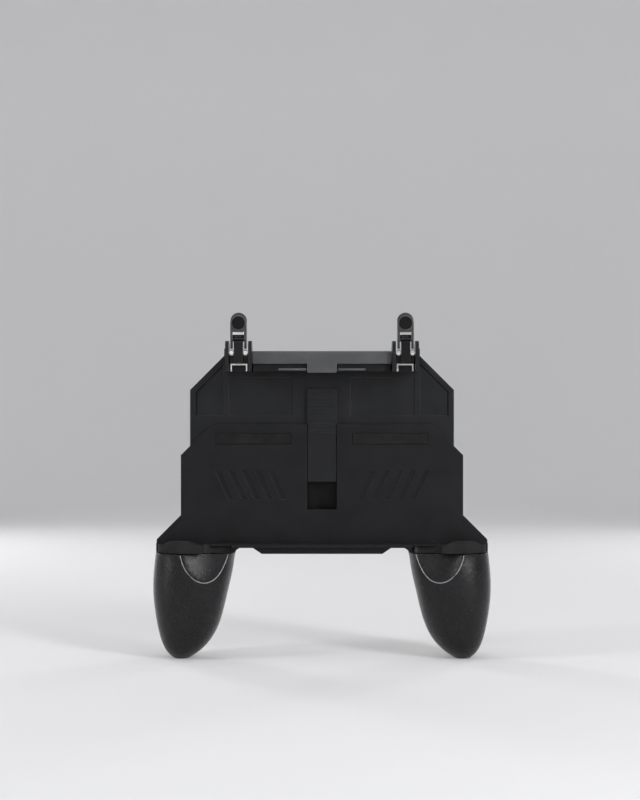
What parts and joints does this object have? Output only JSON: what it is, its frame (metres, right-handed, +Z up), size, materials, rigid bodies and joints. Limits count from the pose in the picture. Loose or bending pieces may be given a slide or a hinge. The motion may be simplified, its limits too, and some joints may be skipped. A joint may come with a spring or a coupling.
{
  "type": "mobile game controller",
  "caption": "Handheld phone clamp with a sliding upper jaw, fold-back palm grips and a pair of flip-down trigger arms with touch pads.",
  "frame": {"origin": "on the floor under the grips, midway between them and midway through the depth", "axes": "+X to the right seen from the phone's side, +Y to the back, +Z up"},
  "size_m": [0.154, 0.0354, 0.1561],
  "materials": {
    "shell_black": "fine matte moulded plastic",
    "trim_black": "dark matte plastic",
    "jaw_black": "fine matte moulded plastic",
    "bar_grey": "satin grey-black plastic",
    "bracket_black": "satin black plastic",
    "grip_black": "fine leather grain",
    "lever_gloss": "glossy black",
    "paddle_black": "satin black",
    "arm_black": "satin black",
    "pad_rubber": "matte silicone rubber",
    "rest_rubber": "charcoal matte rubber",
    "touch_rubber": "conductive black rubber",
    "bright_steel": "bright nickel plated sheet",
    "pin_steel": "ground steel",
    "spring_steel": "spring steel",
    "screw_steel": "zinc plated steel"
  },
  "bodies": {
    "base": {"front_shell": "shell_black", "rear_shell": "shell_black", "chin_plate": "trim_black", "ledge_pad": "pad_rubber", "corner_rest_left": "rest_rubber", "corner_rest_right": "rest_rubber", "back_pad_left": "pad_rubber", "back_pad_right": "pad_rubber", "shell_screws": "screw_steel", "detent_spring": "spring_steel", "grip_pin_left": "pin_steel", "grip_pin_right": "pin_steel"},
    "jaw": {"jaw_frame": "jaw_black", "crossbar_cover": "bar_grey", "jaw_pad_left": "pad_rubber", "jaw_pad_right": "pad_rubber", "jaw_screws": "screw_steel", "trigger_bracket_left": "bracket_black", "trigger_bracket_right": "bracket_black", "bracket_yoke_left": "bright_steel", "bracket_yoke_right": "bright_steel", "pivot_pin_left": "pin_steel", "pivot_pin_right": "pin_steel", "return_spring_left": "spring_steel", "return_spring_right": "spring_steel"},
    "trigger_left": {"trigger_lever_left": "lever_gloss", "paddle_left": "paddle_black"},
    "arm_left": {"pad_arm_left": "arm_black", "arm_fork_left": "bright_steel", "touch_pad_left": "touch_rubber"},
    "grip_left": {"grip_front_left": "grip_black", "grip_rear_left": "grip_black", "grip_screws_left": "screw_steel"},
    "trigger_right": {"trigger_lever_right": "lever_gloss", "paddle_right": "paddle_black"},
    "arm_right": {"pad_arm_right": "arm_black", "arm_fork_right": "bright_steel", "touch_pad_right": "touch_rubber"},
    "grip_right": {"grip_front_right": "grip_black", "grip_rear_right": "grip_black", "grip_screws_right": "screw_steel"}
  },
  "joints": [
    {"name": "jaw_slide", "type": "slide", "parent": "base", "child": "jaw", "axis": [0, 0, 1], "range_m": [-0.0124, 0.0076], "deforming": ["detent_spring"]},
    {"name": "trigger_press_left", "type": "hinge", "parent": "jaw", "child": "trigger_left", "pos_m": [-0.0373, -0.0147, 0.1381], "axis": [1, 0, 0], "range_deg": [0, 7], "stiffness_Nm_per_rad": 0.08, "springref_deg": -2.86, "deforming": ["return_spring_left"]},
    {"name": "arm_flip_left", "type": "hinge", "parent": "trigger_left", "child": "arm_left", "pos_m": [-0.0373, -0.0147, 0.1381], "axis": [1, 0, 0], "range_deg": [0, 180]},
    {"name": "grip_fold_left", "type": "hinge", "parent": "base", "child": "grip_left", "pos_m": [-0.0573, 0.0125, 0.0483], "axis": [1, 0, 0], "range_deg": [0, 150]},
    {"name": "trigger_press_right", "type": "hinge", "parent": "jaw", "child": "trigger_right", "pos_m": [0.0373, -0.0147, 0.1381], "axis": [1, 0, 0], "range_deg": [0, 7], "stiffness_Nm_per_rad": 0.08, "springref_deg": -2.86, "deforming": ["return_spring_right"]},
    {"name": "arm_flip_right", "type": "hinge", "parent": "trigger_right", "child": "arm_right", "pos_m": [0.0373, -0.0147, 0.1381], "axis": [1, 0, 0], "range_deg": [0, 180]},
    {"name": "grip_fold_right", "type": "hinge", "parent": "base", "child": "grip_right", "pos_m": [0.0573, 0.0125, 0.0483], "axis": [1, 0, 0], "range_deg": [0, 150]}
  ]
}
